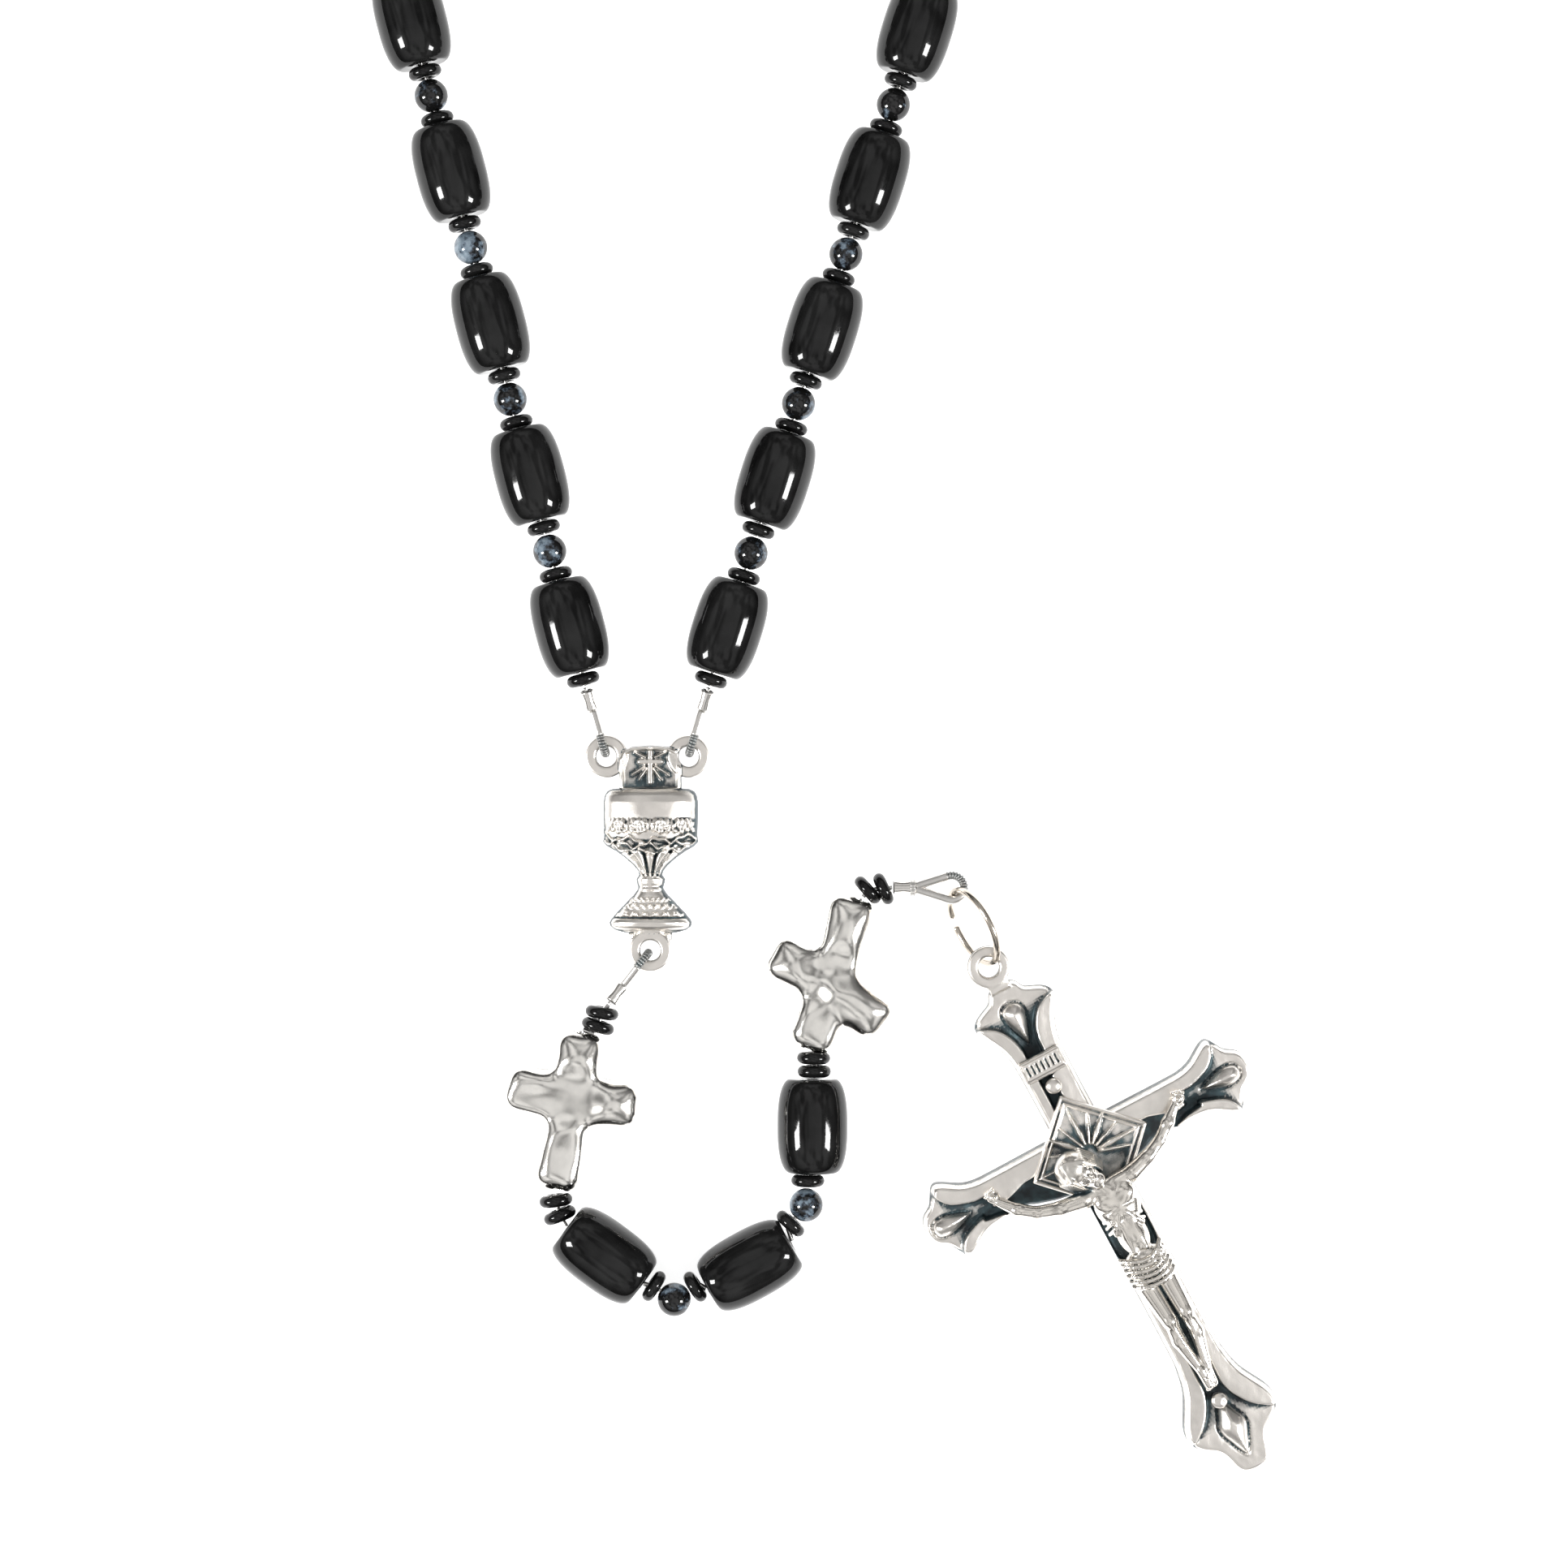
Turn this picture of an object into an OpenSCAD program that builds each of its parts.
// Five-decade rosary of barrel beads on beading wire, with a chalice centre,
// five pillow-shaped cross beads and a flared crucifix on a jump ring.
// It lies flat on z = 0. The origin is the middle of the chalice's flat back.

/* [Beads] */
// Diameter of a barrel bead
barrel_d = 6.1; // [5.8:0.1:6.3]
// Length of a barrel bead
barrel_l = 8.1; // [7.8:0.1:8.3]
// Diameter of the flat end of a barrel bead
barrel_end_d = 3.9; // [3.2:0.1:4.4]
// Diameter of a small round bead
round_d = 2.9; // [2.7:0.1:3]
// Outer diameter of a spacer ring
spacer_d = 2.9; // [2.6:0.1:3]
// Thickness of a spacer ring
spacer_t = 1.05; // [0.95:0.05:1.1]
// Diameter of the hole through each bead
bore_d = 0.7; // [0.66:0.02:0.78]
// Slack left between neighbours on the wire
bead_gap = 0.1; // [0.06:0.01:0.14]

/* [Wire] */
// Diameter of the beading wire
wire_d = 0.4; // [0.34:0.02:0.42]
// Diameter of the coiled wire guard
guard_d = 0.56; // [0.5:0.02:0.6]
// Outer diameter of a crimp tube
crimp_d = 1.2; // [1:0.1:1.3]
// Length of a crimp tube
crimp_l = 1.7; // [1.4:0.1:1.8]

/* [Loop] */
// Lean of the left strand away from +Y, in degrees
left_lean = 14.6; // [13:0.2:16]
// Lean of the right strand away from +Y, in degrees
right_lean = 17.6; // [16:0.2:19]
// Distance from the origin to the first spacers along +Y
strand_y = 14.4; // [14.3:0.1:15]

/* [Cross beads] */
// Width of a cross bead's limbs
limb_d = 3.6; // [3.2:0.1:3.8]
// Reach of the limb above the crossing
cross_up = 6; // [5.6:0.1:6.2]
// Reach of the limb below the crossing
cross_down = 7.9; // [7.4:0.1:8]
// Reach of each side limb
cross_side = 5.8; // [5.2:0.1:6]
// Diameter of the hole along a cross bead
cross_bore_d = 1.2; // [1.1:0.05:1.4]

/* [Chalice] */
// Thickness of the chalice casting
chalice_t = 3; // [2.6:0.1:3.2]
// Radius of an eyelet's hole
eyelet_r = 0.88; // [0.86:0.01:0.95]
// Outer radius of an eyelet
eyelet_outer_r = 1.83; // [1.7:0.01:1.85]
// Thickness of an eyelet
eyelet_t = 1.1; // [0.9:0.1:1.2]

/* [Crucifix] */
// Thickness of the crucifix
cross_t = 2.4; // [2.2:0.1:2.6]
// Half the width of the crucifix's limbs
cross_w = 2.2; // [2:0.1:2.4]
// Height from the crossing to the top lobe
cross_top = 15.9; // [15.5:0.1:16.2]
// Depth from the crossing to the foot
cross_foot = 31.7; // [31:0.1:32.5]
// Reach from the crossing to each side lobe
cross_arm = 15.7; // [15:0.1:16]
// Turn of the crucifix in the plane, in degrees
cross_turn = 28.1; // [27.5:0.1:28.5]
// Lift of the crucifix about its foot, in degrees
cross_lift = 2.2; // [2:0.1:2.4]

/* [Jump ring] */
// Radius of the jump ring at the middle of its wire
ring_r = 3.46; // [3.4:0.01:3.5]
// Diameter of the jump ring's wire
ring_d = 0.6; // [0.5:0.02:0.62]

/* [Hidden] */
$fn = 32;
eps = 0.01;
bead_z = barrel_d / 2;
eyelet_z = 1.5;
wire_cut = 0.09;

// Hinge rim of each eyelet, halfway between its hole and its outside
rim_r = (eyelet_r + eyelet_outer_r) / 2;
guard_r = 1.15;

// The three eyelets of the chalice and the direction that each pulls in
left_eye = [-3.8, 8.3];
right_eye = [3.3, 8.3];
low_eye = [0, -8.45];
left_start = [-5.6, strand_y];
right_start = [5.1, strand_y];

// Kinds of bead along a strand
SPACER = 1;
BARREL = 2;
ROUND = 3;
CROSS = 4;
function kind_l(k) =
  k == SPACER ? spacer_t : k == BARREL ? barrel_l : k == ROUND ? round_d : cross_up + cross_down;

// One half of the loop, from the chalice to the last spacer before the top bead
decade_gap = [SPACER, ROUND, SPACER, BARREL];
decade = concat([BARREL], [for (i = [1:9]) each decade_gap]);
half_decade = concat([BARREL], [for (i = [1:4]) each decade_gap]);
divider = [SPACER, SPACER, CROSS, SPACER, SPACER];
half_kinds = concat([SPACER], decade, divider, decade, divider, half_decade, [SPACER]);
half_count = len(half_kinds);
half_mid = [
  for (i = 0, s = 0; i < half_count; s = s + kind_l(half_kinds[i]) + bead_gap, i = i + 1)
    s + kind_l(half_kinds[i]) / 2
];
half_len = half_mid[half_count - 1] + spacer_t / 2 + bead_gap;
loop_len = 2 * half_len + round_d;

// The loop is two straight strands that run on as tangents of one top arc
turn = 180 + left_lean + right_lean;
apex_rise = (right_start.x - left_start.x) / (tan(left_lean) + tan(right_lean));
left_lead = apex_rise / cos(left_lean);
right_lead = apex_rise / cos(right_lean);
tangent_k = 1 / tan((left_lean + right_lean) / 2);
arc_r = (loop_len + left_lead + right_lead) / (2 * tangent_k + turn * PI / 180);
left_straight = tangent_k * arc_r - left_lead;
right_straight = tangent_k * arc_r - right_lead;
function left_dir() = [-sin(left_lean), cos(left_lean)];
arc_centre = left_start + left_straight * left_dir() + arc_r * [cos(left_lean), sin(left_lean)];

// Place [x, y, heading] at a distance s along the whole loop, from the left end
function on_loop(s) =
  s < left_straight ? concat(left_start + s * left_dir(), [90 + left_lean]) :
  s > loop_len - right_straight ?
    concat(right_start + (loop_len - s) * [sin(right_lean), cos(right_lean)], [-90 - right_lean]) :
  let (a = (s - left_straight) / arc_r * 180 / PI)
    concat(arc_centre + arc_r * [-cos(left_lean - a), -sin(left_lean - a)], [90 + left_lean - a]);

// First and last bead of each rigid stretch of the loop, counted along one half
loop_first = [0, 4, 12, 24, 50, 70];
loop_last = [3, 11, 23, 49, 69, half_count - 1];

// The pendant's beads as [x, y, z, heading], each set by hand
spacer_a = [-4.15, -13.8, 2.3, -100];
spacer_b = [-4.5, -14.95, 2.3, -108];
cross_1 = [-6.75, -21.43, 2.25, -98];
spacer_c = [-8.1, -29.96, 2.55, -82];
spacer_d_at = [-7.75, -31.2, 2.9, -68];
barrel_1 = [-3.9, -34.65, bead_z, -36.5];
spacer_e = [0.35, -37.3, bead_z, -33];
round_1 = [2.1, -38.45, bead_z, 0];
spacer_f = [3.9, -37.35, bead_z, 32];
barrel_2 = [8.6, -35.5, bead_z, 29];
spacer_g = [12.1, -31.9, bead_z, 48];
round_2 = [13.45, -30.3, bead_z, 0];
spacer_h = [13.6, -28.2, bead_z, 89];
barrel_3 = [14, -23.5, bead_z, 90];
spacer_i = [14.15, -18.8, bead_z, 90];
spacer_j = [14.1, -17.65, bead_z, 89];
cross_2 = [15.6, -11.3, bead_z, 70];
spacer_k = [18.75, -3.2, bead_z, 42];
spacer_l = [20.1, -3.1, bead_z, 24];
end_crimp_at = [21.8, -2.95, bead_z, 0];
end_guard_at = [26, -3, bead_z];

// The jump ring hangs between the end guard and the crucifix's eyelet
ring_top = [26.3, -3.25, 3.45];
ring_heading = -63.5;
ring_tilt = 68;
ring_split = 14;
ring_split_at = 254;
ring_mid = ring_top + ring_r * [cos(ring_heading), sin(ring_heading), 0];
cross_eye = [0, 18];
eye_at = [29.15, -9.82, cross_t / 2 + (cross_foot + cross_eye.y) * sin(cross_lift)];

// ---- single beads, each with its hole along Z ----

// A barrel's outside follows a circle arc that is steepened towards its ends
function barrel_side(t) =
  barrel_end_d / 2 + (barrel_d - barrel_end_d) / 2 * pow(1 - pow(abs(t), 3.2), 0.5);

module barrel_bead() {
  steps = 6;
  rotate_extrude()
    polygon(concat(
      [[bore_d / 2, barrel_l / 2], [bore_d / 2, -barrel_l / 2]],
      [for (i = [-steps:steps]) let (t = sin(90 * i / steps)) [barrel_side(t), t * barrel_l / 2]]
    ));
}

module round_bead() {
  difference() {
    sphere(d = round_d);
    cylinder(d = bore_d, h = round_d + 1, center = true);
  }
}

module spacer_ring() {
  rotate_extrude() translate([(spacer_d - spacer_t) / 2, 0]) circle(d = spacer_t);
}

// A limb of a cross bead, from the crossing to its rounded tip along +Z
module cross_limb(reach) {
  cylinder(d = limb_d, h = reach - limb_d / 2);
  translate([0, 0, reach - limb_d / 2]) sphere(d = limb_d);
}

// The long limb of a cross bead runs along Z, its foot towards +Z
module cross_bead() {
  difference() {
    union() {
      cross_limb(cross_down);
      rotate([180, 0, 0]) cross_limb(cross_up);
      rotate([90, 0, 0]) cross_limb(cross_side);
      rotate([-90, 0, 0]) cross_limb(cross_side);
    }
    cylinder(d = cross_bore_d, h = 2 * cross_down + 1, center = true);
  }
}

// ---- placing ----

// Turns Z to a heading in the plane and moves it to [x, y, z]
module lay(x, y, z, heading) {
  translate([x, y, z]) rotate([0, 0, heading]) rotate([0, 90, 0]) children();
}

module lay_at(place) {
  lay(place[0], place[1], place[2], place[3]) children();
}

// Every bead of one kind on one stretch of the loop, on both strands.
// A cross bead's foot points back towards the chalice.
module loop_beads(stretch, kind) {
  for (i = [loop_first[stretch]:loop_last[stretch]]) {
    if (half_kinds[i] == kind) {
      left = on_loop(half_mid[i]);
      right = on_loop(loop_len - half_mid[i]);
      lay(left[0], left[1], bead_z, left[2] + (kind == CROSS ? 180 : 0)) children();
      lay(right[0], right[1], bead_z, right[2]) children();
    }
  }
}

// Wire along the loop between two distances from its left end
module loop_wire(from, to) {
  arc_end = loop_len - right_straight;
  if (from < left_straight) {
    run = min(to, left_straight - wire_cut) - from;
    at = on_loop(from);
    lay(at[0], at[1], bead_z, at[2]) cylinder(d = wire_d, h = run);
  }
  if (to > arc_end) {
    run = to - max(from, arc_end + wire_cut);
    at = on_loop(to);
    lay(at[0], at[1], bead_z, at[2] + 180) cylinder(d = wire_d, h = run);
  }
  arc_from = max(from, left_straight);
  arc_to = min(to, arc_end);
  if (arc_to > arc_from) {
    start = on_loop(arc_to)[2] + 90;
    translate([arc_centre.x, arc_centre.y, bead_z])
      rotate([0, 0, start])
        rotate_extrude(angle = (arc_to - arc_from) / arc_r * 180 / PI, $fn = 360)
          translate([arc_r, 0]) circle(d = wire_d, $fn = 16);
  }
}

// Both strands' wire on one stretch: it ends inside the stretch's last round bead
module stretch_wire(stretch) {
  first = half_mid[loop_first[stretch]] - spacer_t / 2 - bead_gap / 2;
  last = half_mid[loop_last[stretch]] + round_d / 2 - 0.1;
  if (stretch == 5) {
    loop_wire(first, loop_len - first);
  } else {
    loop_wire(first, last);
    loop_wire(loop_len - last, loop_len - first);
  }
}

// A straight wire between two points, cut a little short at each of its bends
module wire_run(a, b, cut_a, cut_b) {
  d = b - a;
  along = d / norm(d);
  translate(a + cut_a * along)
    rotate([0, 0, atan2(d.y, d.x)])
      rotate([0, 90 - atan2(d.z, norm([d.x, d.y])), 0])
        cylinder(d = wire_d, h = norm(d) - cut_a - cut_b);
}

// A bent wire through a list of points, as straight runs that don't quite meet
module wire_path(points) {
  last = len(points) - 2;
  for (i = [0:last]) {
    wire_run(points[i], points[i + 1], i == 0 ? 0 : wire_cut, i == last ? 0 : wire_cut);
  }
}

function xyz(place) = [place[0], place[1], place[2]];
function ahead(place, run) =
  xyz(place) + run * [cos(place[3]), sin(place[3]), 0];

// ---- end fittings ----

// A guard loop that lies flat round the origin. Its two legs meet on +X at the distance tip.
module guard_loop(tip) {
  lean = acos(guard_r / tip);
  leg_l = sqrt(tip * tip - guard_r * guard_r);
  rotate([0, 0, lean])
    rotate_extrude(angle = 360 - 2 * lean) translate([guard_r, 0]) circle(d = guard_d);
  for (side = [-1, 1]) {
    rotate([0, 0, side * lean])
      translate([guard_r, 0, 0]) rotate([side * 90, 0, 0]) cylinder(d = guard_d, h = leg_l);
  }
}

module crimp_tube() {
  difference() {
    cylinder(d = crimp_d, h = crimp_l, center = true);
    cylinder(d = wire_d + 0.1, h = crimp_l + 1, center = true);
  }
}

// Distance from a rim's middle to the crimp's near end, for an eyelet and the start of its beads
function heading_to(a, b) = atan2(b.y - a.y, b.x - a.x);
function rim_mid(eye, target) =
  let (h = heading_to(eye, target)) eye + rim_r * [cos(h), sin(h)];
function span(eye, target) = norm(target - eye) - rim_r;

// Rise of a fitting from its eyelet at eyelet_z to its beads at z
function rise(eye, target, z) = atan2(z - eyelet_z, span(eye, target));

module at_rim(eye, target, z) {
  mid = rim_mid(eye, target);
  translate([mid.x, mid.y, eyelet_z])
    rotate([0, 0, heading_to(eye, target)]) rotate([0, -rise(eye, target, z), 0]) children();
}

module eye_guard(eye, target, z) {
  at_rim(eye, target, z) rotate([90, 0, 0]) guard_loop(span(eye, target) - crimp_l - 0.35);
}

module eye_crimp(eye, target, z) {
  at_rim(eye, target, z)
    translate([span(eye, target) - crimp_l / 2 - 0.25, 0, 0]) rotate([0, 90, 0]) crimp_tube();
}

// The thread of wire inside a crimp, out to the first bead
module eye_wire(eye, target, z) {
  at_rim(eye, target, z)
    translate([span(eye, target) - crimp_l - 0.2, 0, 0])
      rotate([0, 90, 0]) cylinder(d = wire_d, h = crimp_l + 0.2);
}

module left_wire_guard() color("silver") eye_guard(left_eye, left_start, bead_z);
module right_wire_guard() color("silver") eye_guard(right_eye, right_start, bead_z);
module left_crimp() color("silver") eye_crimp(left_eye, left_start, bead_z);
module right_crimp() color("silver") eye_crimp(right_eye, right_start, bead_z);
module lower_wire_guard() color("silver") eye_guard(low_eye, [-3.6, -13.1], spacer_a[2]);
module lower_crimp() color("silver") eye_crimp(low_eye, [-3.6, -13.1], spacer_a[2]);

// ---- chalice centre ----

module ring_plate(r_in, r_out, t) {
  difference() {
    cylinder(r = r_out, h = t, center = true);
    cylinder(r = r_in, h = t + 1, center = true);
  }
}

// Outline of the chalice from the arch to the collar above the lower eyelet
module chalice_outline() {
  translate([0, 7.3]) square([5.3, 3.8], center = true);
  translate([0, 3.1]) square([8.1, 4.8], center = true);
  polygon([[-4.05, 0.8], [4.05, 0.8], [3.3, -0.3], [1.5, -1.2], [1, -1.9], [1.1, -3.2],
    [2.6, -4.4], [3.6, -5.7], [3.6, -6.4], [2.4, -6.9], [-2.4, -6.9], [-3.6, -6.4],
    [-3.6, -5.7], [-2.6, -4.4], [-1.1, -3.2], [-1, -1.9], [-1.5, -1.2], [-3.3, -0.3]]);
  translate([0, -7.1]) square([3.7, 0.9], center = true);
}

module chalice_centre() color("gainsboro") {
  front_r = 5.2;
  difference() {
    union() {
      intersection() {
        linear_extrude(chalice_t) chalice_outline();
        translate([0, 0, chalice_t - front_r])
          rotate([90, 0, 0]) cylinder(r = front_r, h = 40, center = true);
      }
      for (eye = [left_eye, right_eye, low_eye]) {
        translate([eye.x, eye.y, eyelet_z]) cylinder(r = eyelet_outer_r, h = eyelet_t, center = true);
      }
      // Knop round the stem
      translate([0, -2.2, 1]) rotate([0, 90, 0]) cylinder(r = 0.45, h = 2.6, center = true);
    }
    for (eye = [left_eye, right_eye, low_eye]) {
      translate([eye.x, eye.y, eyelet_z]) cylinder(r = eyelet_r, h = 10, center = true);
      // Room over and under the eyelet for its wire guard
      for (side = [-1, 1]) {
        translate([eye.x, eye.y, eyelet_z + side * (eyelet_t / 2 + 2.5)])
          cylinder(r = eyelet_outer_r + 0.1, h = 5, center = true);
      }
    }
  }
}

// ---- loop ----

module barrels(stretch) color([0.04, 0.04, 0.05]) loop_beads(stretch, BARREL) barrel_bead();
module rounds(stretch) color([0.16, 0.18, 0.2]) {
  loop_beads(stretch, ROUND) round_bead();
  if (stretch == 5) {
    top = on_loop(loop_len / 2);
    lay(top[0], top[1], bead_z, top[2]) round_bead();
  }
}
module spacers(stretch) color([0.04, 0.04, 0.05]) loop_beads(stretch, SPACER) spacer_ring();
module cross_beads(stretch) color("silver")
  loop_beads(stretch, CROSS) translate([0, 0, (cross_up - cross_down) / 2]) cross_bead();
module strand_wire(stretch) color("lightgrey") stretch_wire(stretch);

module first_wire() {
  strand_wire(0);
  color("lightgrey") {
    eye_wire(left_eye, left_start, bead_z);
    eye_wire(right_eye, right_start, bead_z);
  }
}

// ---- pendant ----

module black() color([0.04, 0.04, 0.05]) children();
module grey_stone() color([0.16, 0.18, 0.2]) children();

module pendant_spacers_1() black() {
  lay_at(spacer_a) spacer_ring();
  lay_at(spacer_b) spacer_ring();
}
module pendant_cross_1() color("silver") lay_at(cross_1) cross_bead();
module pendant_wire_1() color("lightgrey") {
  eye_wire(low_eye, [-3.6, -13.1], spacer_a[2]);
  wire_path([
    [-3.6, -13.1, spacer_a[2]], xyz(spacer_a), xyz(spacer_b), ahead(spacer_b, 0.73),
    ahead(cross_1, -cross_up - 0.24), ahead(cross_1, cross_down - 0.1)
  ]);
}

module pendant_spacers_2() black() {
  lay_at(spacer_c) spacer_ring();
  lay_at(spacer_d_at) spacer_ring();
  lay_at(spacer_e) spacer_ring();
}
module pendant_barrel_1() black() lay_at(barrel_1) barrel_bead();
module pendant_round_1() grey_stone() lay_at([round_1[0], round_1[1], round_1[2], -33]) round_bead();
module pendant_wire_2() color("lightgrey")
  wire_path([
    ahead(spacer_c, -0.5), xyz(spacer_c), xyz(spacer_d_at), ahead(barrel_1, -barrel_l / 2),
    ahead(barrel_1, barrel_l / 2), xyz(spacer_e), xyz(round_1)
  ]);

module pendant_spacers_3() black() {
  lay_at(spacer_f) spacer_ring();
  lay_at(spacer_g) spacer_ring();
}
module pendant_barrel_2() black() lay_at(barrel_2) barrel_bead();
module pendant_round_2() grey_stone() lay_at([round_2[0], round_2[1], round_2[2], 52]) round_bead();
module pendant_wire_3() color("lightgrey")
  wire_path([
    ahead(spacer_f, -0.5), ahead(spacer_f, 0.4), ahead(barrel_2, -barrel_l / 2 - 0.15),
    ahead(barrel_2, barrel_l / 2 + 0.15), ahead(spacer_g, -0.4), ahead(spacer_g, 0.3), xyz(round_2)
  ]);

module pendant_spacers_4() black() {
  lay_at(spacer_h) spacer_ring();
  lay_at(spacer_i) spacer_ring();
  lay_at(spacer_j) spacer_ring();
}
module pendant_barrel_3() black() lay_at(barrel_3) barrel_bead();
module pendant_wire_4() color("lightgrey")
  wire_path([
    ahead(spacer_h, -0.5), xyz(spacer_h), ahead(barrel_3, -barrel_l / 2),
    ahead(barrel_3, barrel_l / 2), xyz(spacer_i), ahead(spacer_j, 0.4)
  ]);

module pendant_spacers_5() black() {
  lay_at(spacer_k) spacer_ring();
  lay_at(spacer_l) spacer_ring();
}
module pendant_cross_2() color("silver") lay_at(cross_2) cross_bead();
module pendant_wire_5() color("lightgrey")
  wire_path([
    ahead(cross_2, 0.2 - cross_up), ahead(cross_2, cross_down), xyz(spacer_k), xyz(spacer_l),
    ahead(end_crimp_at, -crimp_l / 2), ahead(end_crimp_at, crimp_l / 2)
  ]);

module end_crimp() color("silver") lay_at(end_crimp_at) crimp_tube();

// The end guard lies flat and opens towards the crimp
module end_wire_guard() color("silver") {
  reach = end_guard_at.x - end_crimp_at[0] - crimp_l / 2 - 0.1;
  translate(end_guard_at) rotate([0, 0, 180]) guard_loop(reach);
}

// The ring's split is on its low side
module jump_ring() color("silver")
  translate(ring_mid)
    rotate([0, 0, ring_heading])
      rotate([ring_tilt, 0, 0])
        rotate([0, 0, ring_split_at + ring_split / 2])
          rotate_extrude(angle = 360 - ring_split) translate([ring_r, 0]) circle(d = ring_d);

// ---- crucifix ----

module crucifix_place() {
  translate(eye_at)
    rotate([0, 0, cross_turn])
      rotate([cross_lift, 0, 0]) translate([-cross_eye.x, -cross_eye.y, -cross_t / 2]) children();
}

// One limb's end along +Y: a flare whose tips lie some way short of a round lobe
module limb_end(reach, half_w, tip) {
  tip_y = reach - tip;
  for (side = [0, 1]) {
    mirror([side, 0])
      polygon([[0, 0], [cross_w, 0], [cross_w + 0.1, tip_y - 4.6], [cross_w + 0.6, tip_y - 2],
        [half_w, tip_y], [half_w - 0.3, tip_y + 0.8], [2, tip_y + 0.35 * tip], [0, tip_y + 0.35 * tip]]);
  }
  translate([0, reach - 2]) circle(r = 2);
}

module crucifix_outline() {
  limb_end(cross_top, 3.9, 2.4);
  rotate(180) limb_end(cross_foot, 4.4, 5.1);
  rotate(90) limb_end(cross_arm, 3.65, 2.7);
  rotate(-90) limb_end(cross_arm, 3.65, 2.7);
}

upper_rivet_at = [0.1, 6.45];
lower_rivet_at = [-0.05, -24.3];
rivet_shank_r = 0.4;
plate_half = 5.6;
plate_side = plate_half * sqrt(2);
plate_at = [0.15, -0.1];
plate_t = 0.5;

module crucifix_cross() color("silver") crucifix_place()
  difference() {
    union() {
      linear_extrude(cross_t) crucifix_outline();
      translate([cross_eye.x, cross_eye.y, cross_t / 2])
        cylinder(r = eyelet_outer_r, h = eyelet_t, center = true);
      // Neck between the top lobe and the eyelet
      translate([cross_eye.x, cross_top, cross_t / 2])
        cylinder(r = 0.9, h = eyelet_t, center = true);
    }
    translate([cross_eye.x, cross_eye.y, 0]) cylinder(r = eyelet_r, h = 10, center = true);
    for (at = [upper_rivet_at, lower_rivet_at]) {
      translate([at.x, at.y, -1]) cylinder(r = rivet_shank_r + 0.05, h = cross_t + 2);
    }
  }

module rivet(at) {
  translate([at.x, at.y, 0]) {
    cylinder(r = rivet_shank_r, h = cross_t + 0.2);
    intersection() {
      translate([0, 0, cross_t - 0.2]) sphere(r = 0.75);
      translate([0, 0, cross_t + 0.01]) cylinder(r = 1, h = 2);
    }
  }
}

module upper_rivet() color("silver") crucifix_place() rivet(upper_rivet_at);
module lower_rivet() color("silver") crucifix_place() rivet(lower_rivet_at);

module title_plaque() color("lightgrey") crucifix_place()
  translate([0.1, 8.5, cross_t + 0.25]) cube([4.1, 2.1, 0.5], center = true);

// A square plate on its corner, with a raised border
module sunburst_plate() color("lightgrey") crucifix_place()
  translate([plate_at.x, plate_at.y, cross_t])
    rotate([0, 0, 45])
      difference() {
        translate([0, 0, plate_t / 2]) cube([plate_side, plate_side, plate_t], center = true);
        translate([0, 0, plate_t]) cube([plate_side - 1.2, plate_side - 1.2, 0.4], center = true);
      }

// A round limb of the figure between two points, each with its own radius
module limb(a, b, ra, rb) {
  d = b - a;
  slim = 0.94;
  translate(a) sphere(r = ra);
  translate(b) sphere(r = rb);
  translate(a)
    rotate([0, 0, atan2(d.y, d.x)])
      rotate([0, 90 - atan2(d.z, norm([d.x, d.y])), 0])
        cylinder(r1 = slim * ra, r2 = slim * rb, h = norm(d));
}

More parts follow.
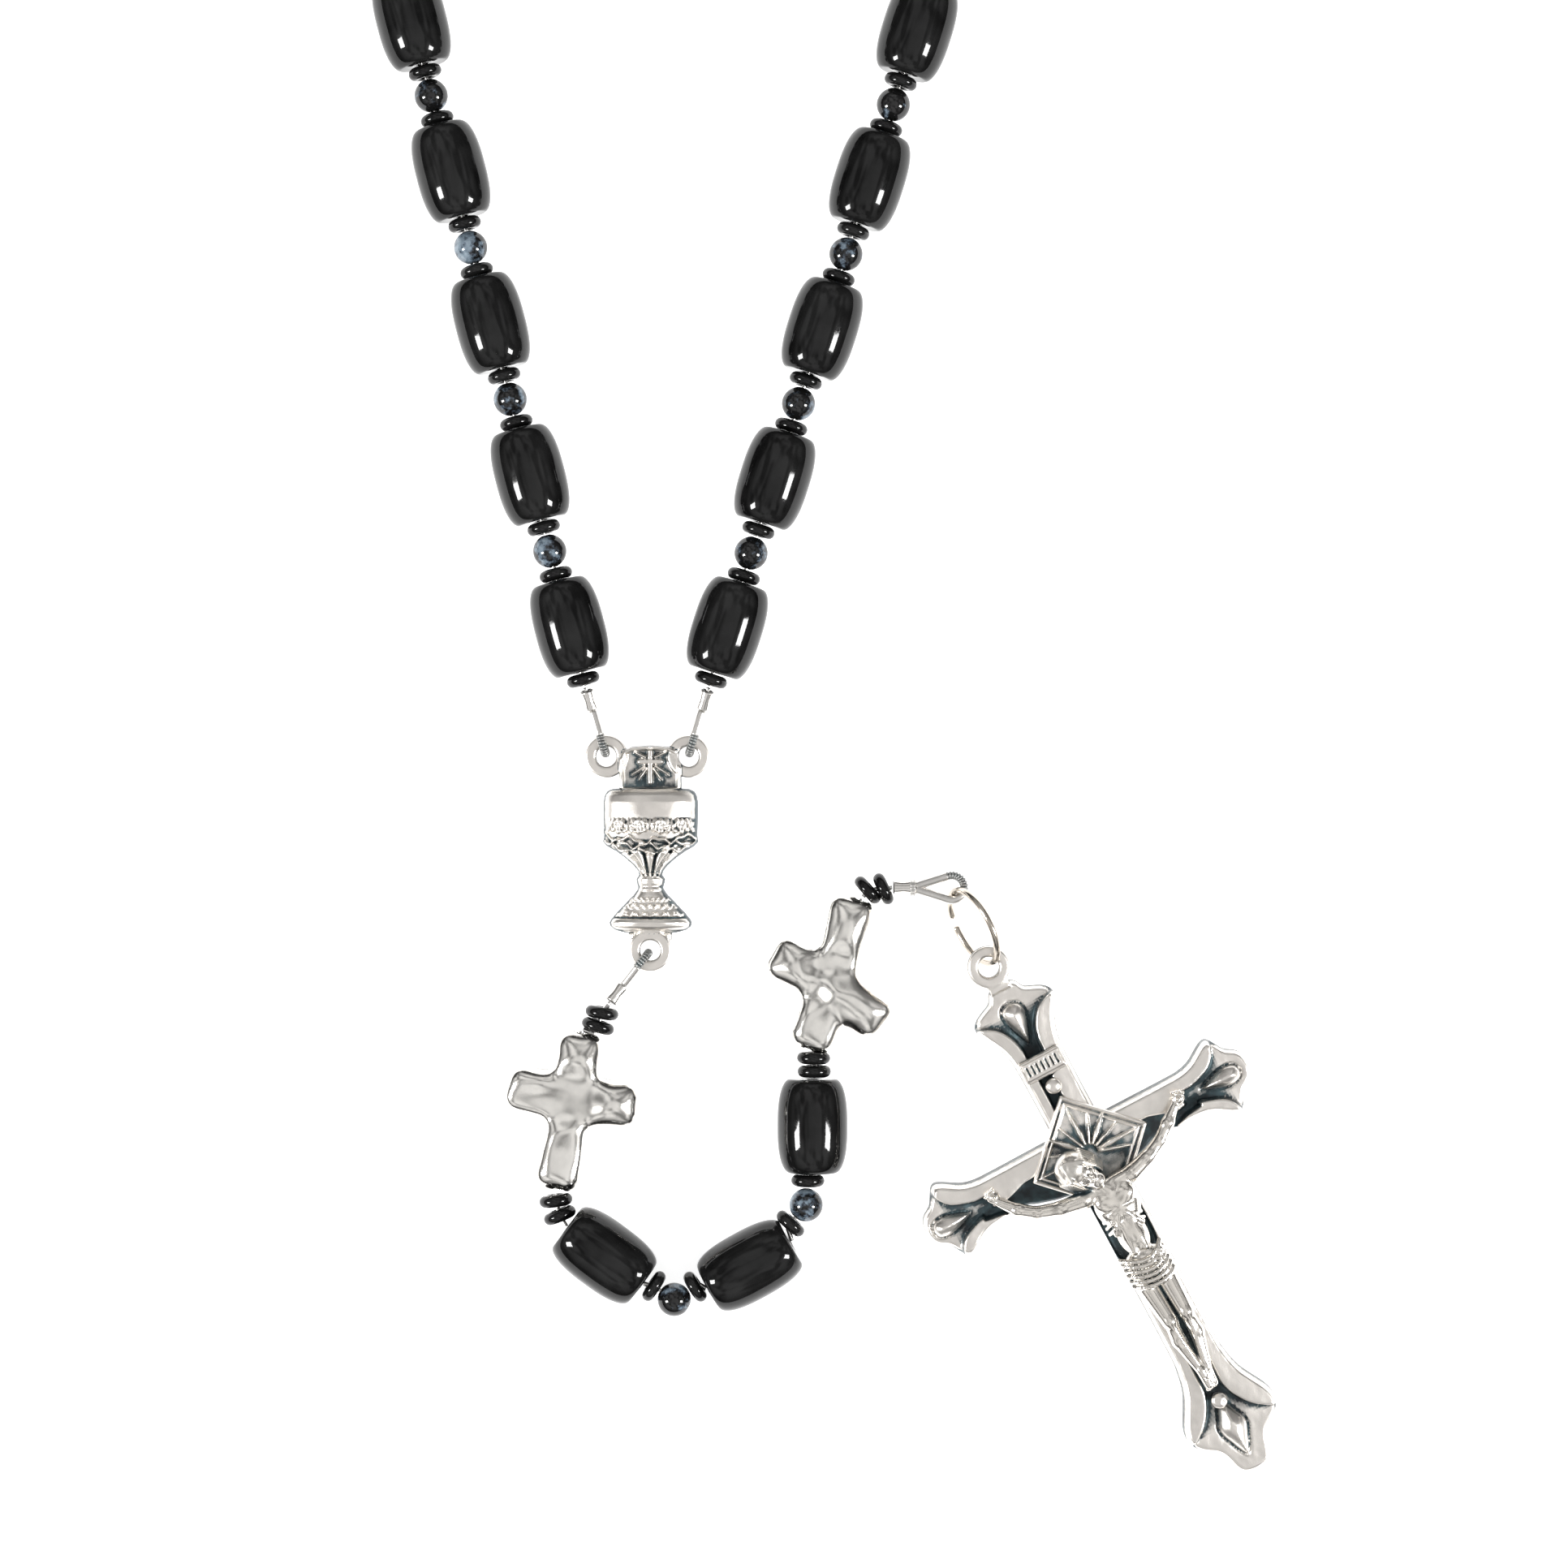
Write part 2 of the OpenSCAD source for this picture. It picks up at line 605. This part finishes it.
module corpus() color("gainsboro") crucifix_place()
  difference() {
    union() {
      translate([-1.4, -0.9, 4.4]) sphere(r = 1.75);
      limb([-2.1, -3.4, 3.6], [2.4, -3.3, 3.6], 0.95, 0.95);
      limb([0.2, -4.4, 3.7], [0.1, -8.6, 3.6], 2, 1.5);
      limb([-2.1, -3.3, 3.6], [-6.2, -2.4, 3.4], 0.85, 0.65);
      limb([-6.2, -2.4, 3.3], [-9.3, 0.5, 2.9], 0.7, 0.6);
      limb([2.4, -3.2, 3.6], [5.7, -2.1, 3.4], 0.85, 0.65);
      limb([5.7, -2.1, 3.3], [8.8, 0.6, 2.9], 0.7, 0.6);
      limb([-1, -10.8, 3.6], [1, -10.8, 3.6], 1.7, 1.7);
      limb([-0.9, -11.5, 3.6], [-0.6, -15.6, 4.2], 1.2, 0.9);
      limb([0.9, -11.5, 3.6], [0.9, -16, 4.2], 1.2, 0.9);
      limb([-0.6, -15.6, 4.2], [-0.3, -21.2, 3.5], 0.9, 0.6);
      limb([0.9, -16, 4.2], [0.1, -21.6, 3.6], 0.9, 0.6);
      limb([-0.1, -21, 3.4], [-0.1, -22.7, 3.2], 0.75, 0.6);
    }
    translate([0, 0, cross_t - 10 + eps]) cube([60, 80, 20], center = true);
    translate([plate_at.x, plate_at.y, 0])
      rotate([0, 0, 45])
        cube([plate_side, plate_side, 2 * (cross_t + plate_t + eps)], center = true);
  }

// ---- the object ----

chalice_centre();
left_wire_guard();
right_wire_guard();
left_crimp();
right_crimp();
barrels(0);  // loop_1_barrels
rounds(0);  // loop_1_rounds
spacers(0);  // loop_1_spacers
first_wire();  // loop_1_wire
barrels(1);  // loop_2_barrels
rounds(1);  // loop_2_rounds
spacers(1);  // loop_2_spacers
strand_wire(1);  // loop_2_wire
barrels(2);  // loop_3_barrels
rounds(2);  // loop_3_rounds
spacers(2);  // loop_3_spacers
strand_wire(2);  // loop_3_wire
barrels(3);  // loop_4_barrels
rounds(3);  // loop_4_rounds
spacers(3);  // loop_4_spacers
strand_wire(3);  // loop_4_wire
cross_beads(3);  // lower_cross_beads
barrels(4);  // loop_5_barrels
rounds(4);  // loop_5_rounds
spacers(4);  // loop_5_spacers
strand_wire(4);  // loop_5_wire
barrels(5);  // loop_6_barrels
rounds(5);  // loop_6_rounds
spacers(5);  // loop_6_spacers
strand_wire(5);  // loop_6_wire
cross_beads(5);  // upper_cross_beads
lower_wire_guard();
lower_crimp();
pendant_spacers_1();
pendant_cross_1();
pendant_wire_1();
pendant_spacers_2();
pendant_barrel_1();
pendant_round_1();
pendant_wire_2();
pendant_spacers_3();
pendant_barrel_2();
pendant_round_2();
pendant_wire_3();
pendant_spacers_4();
pendant_barrel_3();
pendant_wire_4();
pendant_spacers_5();
pendant_cross_2();
end_crimp();
end_wire_guard();
pendant_wire_5();
jump_ring();
crucifix_cross();
corpus();
sunburst_plate();
title_plaque();
upper_rivet();
lower_rivet();
